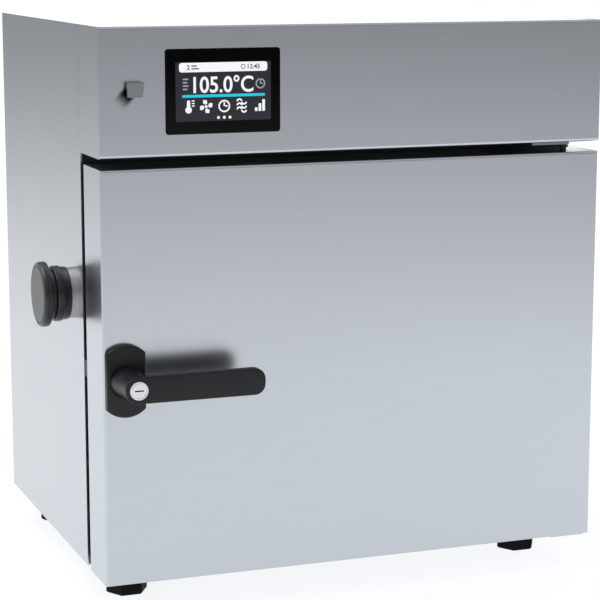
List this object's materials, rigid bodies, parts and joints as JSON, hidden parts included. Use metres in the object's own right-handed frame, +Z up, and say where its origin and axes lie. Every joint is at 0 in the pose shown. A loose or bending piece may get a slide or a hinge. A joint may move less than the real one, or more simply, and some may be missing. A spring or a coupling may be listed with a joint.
{
  "type": "laboratory drying oven",
  "caption": "Bench-top laboratory drying oven: stainless cabinet with side-hinged insulated door, lever latch, touch display head, shelves, fan and heater, access port and air damper.",
  "frame": {"origin": "on the table, at the middle of the footprint of the whole oven with its handle, access plug and vent spigot", "axes": "+X to the right seen from the front (hinge side), +Y from the door to the back, +Z up"},
  "size_m": [0.555, 0.4658, 0.5662],
  "materials": {
    "satin_stainless": "satin brushed stainless sheet",
    "chamber_stainless": "bright annealed stainless",
    "blackened_steel": "black oxide",
    "black_enamel": "stove enamelled",
    "zinc_steel": "zinc plated steel",
    "black_handle": "moulded glass filled nylon",
    "lock_chrome": "nickel plated zinc",
    "black_port": "moulded heat resistant plastic",
    "black_foot": "moulded rubber",
    "seal_silicone": "moulded silicone",
    "screen_glass": "black backed touch glass",
    "display_can": "moulded",
    "circuit_board": "solder masked glass fibre board",
    "mineral_wool": "pressed fibre slab",
    "heater_sheath": "oxidised sheath",
    "motor_steel": "laminated stack and end bells",
    "bearing_brass": "turned",
    "aluminium_part": "extruded or turned",
    "black_fitting": "moulded",
    "grey_terminal": "moulded"
  },
  "bodies": {
    "cabinet": {"air_baffle": "chamber_stainless", "bottom_pan": "zinc_steel", "chamber_probes": "chamber_stainless", "control_board": "circuit_board", "damper_guide": "bearing_brass", "display_bezel": "screen_glass", "display_module": "display_can", "divider_plate": "zinc_steel", "exhaust_duct_lower": "chamber_stainless", "exhaust_duct_upper": "chamber_stainless", "fan_motor": "motor_steel", "feet": "black_foot", "front_frame": "black_enamel", "head_housing": "satin_stainless", "heater_relay": "aluminium_part", "hinge_bracket_bottom": "blackened_steel", "hinge_bracket_top": "zinc_steel", "hinge_pins": "blackened_steel", "inner_chamber": "chamber_stainless", "insulation_bottom": "mineral_wool", "insulation_left": "mineral_wool", "insulation_rear": "mineral_wool", "insulation_right": "mineral_wool", "insulation_top": "mineral_wool", "latch_keeper": "blackened_steel", "mains_inlet": "black_fitting", "port_collar": "black_port", "port_tube": "chamber_stainless", "power_supply": "zinc_steel", "rear_bulkhead": "zinc_steel", "rear_cover": "satin_stainless", "ring_heater": "heater_sheath", "runner_rack_left": "chamber_stainless", "runner_rack_right": "chamber_stainless", "side_panel_left": "satin_stainless", "side_panel_right": "satin_stainless", "switch_frame": "black_fitting", "terminal_block": "grey_terminal", "top_panel": "satin_stainless", "wire_shelf_lower": "chamber_stainless", "wire_shelf_upper": "chamber_stainless"},
    "door": {"door_skin": "satin_stainless", "door_inner_panel": "satin_stainless", "door_insulation": "mineral_wool", "door_seal": "seal_silicone", "hinge_blocks": "zinc_steel", "hinge_bushes": "bearing_brass", "escutcheon_plate": "black_handle", "spindle_bush": "bearing_brass"},
    "handle": {"lever": "black_handle", "handle_spindle": "zinc_steel", "latch_cam": "zinc_steel"},
    "lock": {"lock_cylinder": "lock_chrome"},
    "plug": {"port_plug": "black_port"},
    "damper": {"damper_slide": "zinc_steel", "damper_knob": "satin_stainless"},
    "fan": {"fan_impeller": "aluminium_part", "fan_shaft": "zinc_steel"},
    "rocker": {"power_rocker": "black_fitting"}
  },
  "joints": [
    {"name": "door_swing", "type": "hinge", "parent": "cabinet", "child": "door", "pos_m": [0.246, -0.1661, 0.232], "axis": [0, 0, 1], "range_deg": [0, 110]},
    {"name": "handle_turn", "type": "hinge", "parent": "door", "child": "handle", "pos_m": [-0.222, -0.1821, 0.235], "axis": [0, 1, 0], "range_deg": [0, 90]},
    {"name": "lock_turn", "type": "hinge", "parent": "handle", "child": "lock", "pos_m": [-0.222, -0.2221, 0.235], "axis": [0, 1, 0], "range_deg": [0, 90]},
    {"name": "plug_pull", "type": "slide", "parent": "cabinet", "child": "plug", "axis": [-1, 0, 0], "range_m": [0, 0.045]},
    {"name": "damper_pull", "type": "slide", "parent": "cabinet", "child": "damper", "axis": [0, -1, 0], "range_m": [0, 0.032]},
    {"name": "fan_spin", "type": "hinge", "parent": "cabinet", "child": "fan", "pos_m": [0.0175, 0.1499, 0.23385], "axis": [0, 1, 0], "continuous": true},
    {"name": "switch_rock", "type": "hinge", "parent": "cabinet", "child": "rocker", "pos_m": [0.2225, 0.2154, 0.505], "axis": [-1, 0, 0], "range_deg": [0, 24]}
  ]
}
